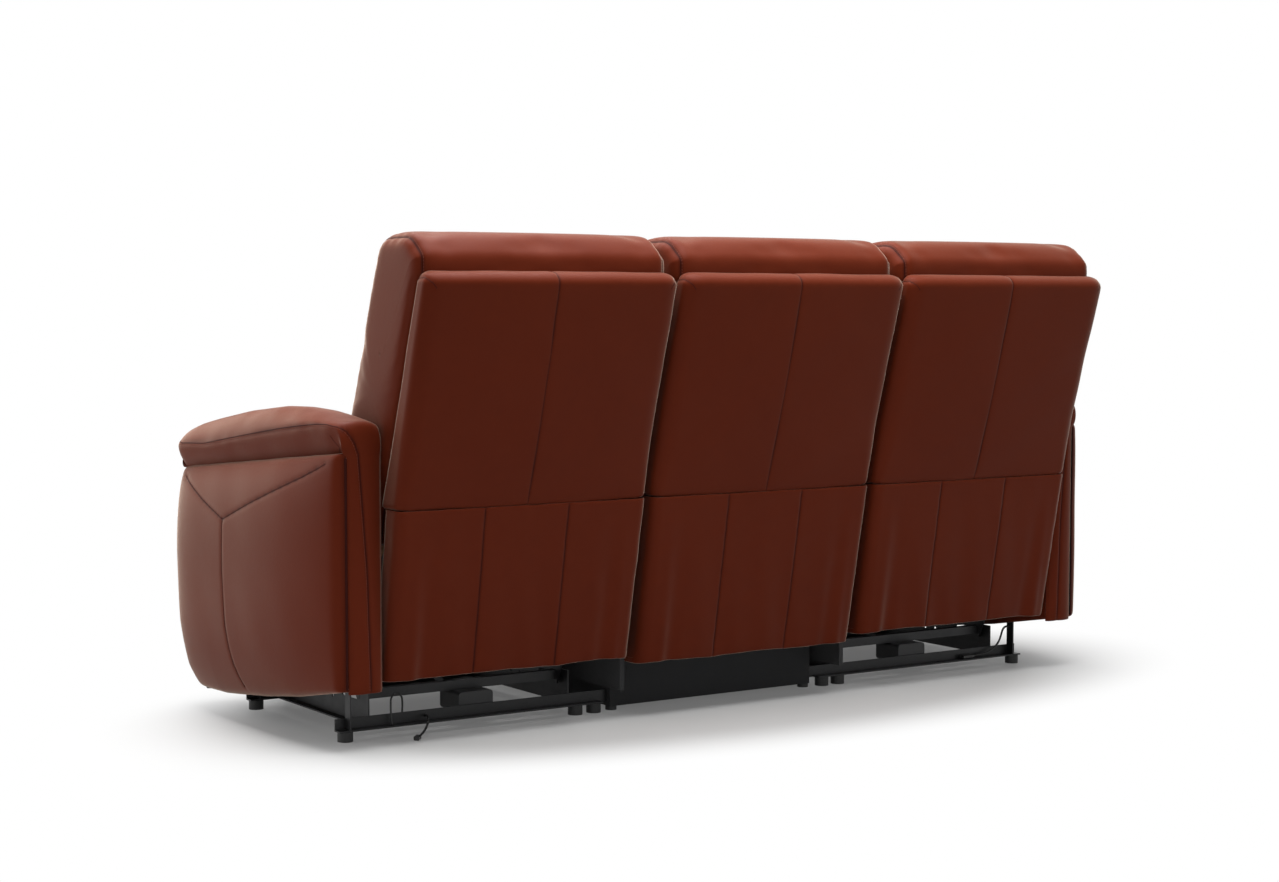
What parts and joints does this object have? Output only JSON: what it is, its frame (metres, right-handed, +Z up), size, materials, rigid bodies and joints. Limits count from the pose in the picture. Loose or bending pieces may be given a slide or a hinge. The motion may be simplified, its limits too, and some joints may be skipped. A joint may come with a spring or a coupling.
{
  "type": "reclining sofa",
  "caption": "Leather reclining sofa with padded arms, upholstered backs with head rolls, end seats that recline and fold out footrests on steel bases, and a fixed middle seat.",
  "frame": {"origin": "on the floor, under the middle of the sofa's box", "axes": "+X along the width towards the sitter's left arm, +Y towards the rear, +Z up"},
  "size_m": [2.086, 0.974, 1.0333],
  "materials": {
    "seat_leather": "soft aniline-look leather over foam, slight sheen",
    "rear_leather": "matching upholstery leather on the rear faces",
    "arm_leather": "leather with top-stitched seams",
    "painted_timber": "arm frame boards lined with black cloth",
    "bare_timber": "unfinished frame timber",
    "black_cloth": "black non-woven dust cloth",
    "black_steel": "satin black powder coat",
    "spring_steel": "oiled spring wire",
    "drive_plastic": "moulded black housing",
    "foot_plastic": "moulded black feet",
    "cable_sheath": "black flexible sheath",
    "connector_plastic": "moulded connector",
    "brushed_plate": "fine brushed plate",
    "button_metal": "polished button caps"
  },
  "bodies": {
    "base": {"cross_bars": "black_steel", "side_rails": "black_steel", "floor_feet": "foot_plastic", "centre_back_shell": "rear_leather", "centre_back_flap": "rear_leather", "centre_back_cushion": "seat_leather", "centre_seat_cushion": "seat_leather", "centre_base_box": "black_cloth", "centre_front_panel": "seat_leather", "left_lead": "cable_sheath", "right_lead": "cable_sheath", "cable_loop": "cable_sheath", "left_connector": "connector_plastic", "right_connector": "connector_plastic", "left_arm_frame": "painted_timber", "left_arm_outer_panel": "arm_leather", "left_arm_inner_panel": "arm_leather", "left_arm_pad": "arm_leather", "left_switch_plate": "brushed_plate", "right_arm_frame": "painted_timber", "right_arm_outer_panel": "arm_leather", "right_arm_inner_panel": "arm_leather", "right_arm_pad": "arm_leather", "right_switch_plate": "brushed_plate"},
    "left_carriage": {"left_mechanism_plates": "black_steel", "left_seat_frame": "bare_timber", "left_seat_springs": "spring_steel", "left_seat_cushion": "seat_leather", "left_actuator": "drive_plastic"},
    "left_back": {"left_back_shell": "rear_leather", "left_back_flap": "rear_leather", "left_back_cushion": "seat_leather", "left_back_brackets": "black_steel"},
    "left_lift": {"left_lift_arms": "black_steel"},
    "left_long_link": {"left_long_links": "black_steel"},
    "left_short_link": {"left_short_links": "black_steel"},
    "left_control_link": {"left_control_links": "black_steel"},
    "left_footrest": {"left_footrest_brackets": "black_steel", "left_footrest_pad": "seat_leather"},
    "left_drive_block": {"left_drive_block": "drive_plastic"},
    "left_recline_button": {"left_recline_button": "button_metal"},
    "left_return_button": {"left_return_button": "button_metal"},
    "right_carriage": {"right_mechanism_plates": "black_steel", "right_seat_frame": "bare_timber", "right_seat_springs": "spring_steel", "right_seat_cushion": "seat_leather", "right_actuator": "drive_plastic"},
    "right_back": {"right_back_shell": "rear_leather", "right_back_flap": "rear_leather", "right_back_cushion": "seat_leather", "right_back_brackets": "black_steel"},
    "right_lift": {"right_lift_arms": "black_steel"},
    "right_long_link": {"right_long_links": "black_steel"},
    "right_short_link": {"right_short_links": "black_steel"},
    "right_control_link": {"right_control_links": "black_steel"},
    "right_footrest": {"right_footrest_brackets": "black_steel", "right_footrest_pad": "seat_leather"},
    "right_drive_block": {"right_drive_block": "drive_plastic"},
    "right_recline_button": {"right_recline_button": "button_metal"},
    "right_return_button": {"right_return_button": "button_metal"}
  },
  "joints": [
    {"name": "left_back_recline", "type": "hinge", "parent": "left_carriage", "child": "left_back", "pos_m": [0.6, 0.19, 0.27], "axis": [-1, 0, 0], "range_deg": [0, 28]},
    {"name": "left_carriage_slide", "type": "slide", "parent": "base", "child": "left_carriage", "axis": [0, -1, 0], "range_m": [0, 0.07]},
    {"name": "left_footrest_open", "type": "hinge", "parent": "left_carriage", "child": "left_lift", "pos_m": [0.612, -0.3, 0.2], "axis": [-1, 0, 0], "range_deg": [0, 85]},
    {"name": "left_long_link_pivot", "type": "hinge", "parent": "left_lift", "child": "left_long_link", "pos_m": [0.612, -0.34141, 0.04545], "axis": [-1, 0, 0], "range_deg": [-147.1, 0]},
    {"name": "left_short_link_pivot", "type": "hinge", "parent": "left_lift", "child": "left_short_link", "pos_m": [0.612, -0.32718, 0.09858], "axis": [-1, 0, 0], "range_deg": [-147.1, 0]},
    {"name": "left_footrest_pivot", "type": "hinge", "parent": "left_long_link", "child": "left_footrest", "pos_m": [0.612, -0.33373, 0.26532], "axis": [-1, 0, 0], "range_deg": [0, 147.1]},
    {"name": "left_control_link_pivot", "type": "hinge", "parent": "left_carriage", "child": "left_control_link", "pos_m": [0.612, -0.2804, 0.1673], "axis": [-1, 0, 0], "range_deg": [0, 85]},
    {"name": "left_drive_block_slide", "type": "slide", "parent": "left_carriage", "child": "left_drive_block", "axis": [0, -0.9715, 0.2368], "range_m": [0, 0.0866]},
    {"name": "left_recline_press", "type": "slide", "parent": "base", "child": "left_recline_button", "axis": [1, 0, 0], "range_m": [0, 0.0015], "stiffness_N_per_m": 1000, "springref_m": -0.0005},
    {"name": "left_return_press", "type": "slide", "parent": "base", "child": "left_return_button", "axis": [1, 0, 0], "range_m": [0, 0.0015], "stiffness_N_per_m": 1000, "springref_m": -0.0005},
    {"name": "right_back_recline", "type": "hinge", "parent": "right_carriage", "child": "right_back", "pos_m": [-0.6, 0.19, 0.27], "axis": [-1, 0, 0], "range_deg": [0, 28]},
    {"name": "right_carriage_slide", "type": "slide", "parent": "base", "child": "right_carriage", "axis": [0, -1, 0], "range_m": [0, 0.07]},
    {"name": "right_footrest_open", "type": "hinge", "parent": "right_carriage", "child": "right_lift", "pos_m": [-0.612, -0.3, 0.2], "axis": [-1, 0, 0], "range_deg": [0, 85]},
    {"name": "right_long_link_pivot", "type": "hinge", "parent": "right_lift", "child": "right_long_link", "pos_m": [-0.612, -0.34141, 0.04545], "axis": [-1, 0, 0], "range_deg": [-147.1, 0]},
    {"name": "right_short_link_pivot", "type": "hinge", "parent": "right_lift", "child": "right_short_link", "pos_m": [-0.612, -0.32718, 0.09858], "axis": [-1, 0, 0], "range_deg": [-147.1, 0]},
    {"name": "right_footrest_pivot", "type": "hinge", "parent": "right_long_link", "child": "right_footrest", "pos_m": [-0.612, -0.33373, 0.26532], "axis": [-1, 0, 0], "range_deg": [0, 147.1]},
    {"name": "right_control_link_pivot", "type": "hinge", "parent": "right_carriage", "child": "right_control_link", "pos_m": [-0.612, -0.2804, 0.1673], "axis": [-1, 0, 0], "range_deg": [0, 85]},
    {"name": "right_drive_block_slide", "type": "slide", "parent": "right_carriage", "child": "right_drive_block", "axis": [0, -0.9715, 0.2368], "range_m": [0, 0.0866]},
    {"name": "right_recline_press", "type": "slide", "parent": "base", "child": "right_recline_button", "axis": [-1, 0, 0], "range_m": [0, 0.0015], "stiffness_N_per_m": 1000, "springref_m": -0.0005},
    {"name": "right_return_press", "type": "slide", "parent": "base", "child": "right_return_button", "axis": [-1, 0, 0], "range_m": [0, 0.0015], "stiffness_N_per_m": 1000, "springref_m": -0.0005}
  ],
  "couplings": [
    {"joint": "left_carriage_slide", "follows": "left_back_recline", "m_per_rad": 0.1432},
    {"joint": "left_long_link_pivot", "follows": "left_footrest_open", "ratio": -1.7294},
    {"joint": "left_short_link_pivot", "follows": "left_footrest_open", "ratio": -1.7294},
    {"joint": "left_footrest_pivot", "follows": "left_footrest_open", "ratio": 1.7294},
    {"joint": "left_control_link_pivot", "follows": "left_footrest_open", "ratio": 0.9922},
    {"joint": "left_drive_block_slide", "follows": "left_footrest_open", "m_per_rad": 0.05829},
    {"joint": "right_carriage_slide", "follows": "right_back_recline", "m_per_rad": 0.1432},
    {"joint": "right_long_link_pivot", "follows": "right_footrest_open", "ratio": -1.7294},
    {"joint": "right_short_link_pivot", "follows": "right_footrest_open", "ratio": -1.7294},
    {"joint": "right_footrest_pivot", "follows": "right_footrest_open", "ratio": 1.7294},
    {"joint": "right_control_link_pivot", "follows": "right_footrest_open", "ratio": 0.9922},
    {"joint": "right_drive_block_slide", "follows": "right_footrest_open", "m_per_rad": 0.05829}
  ]
}
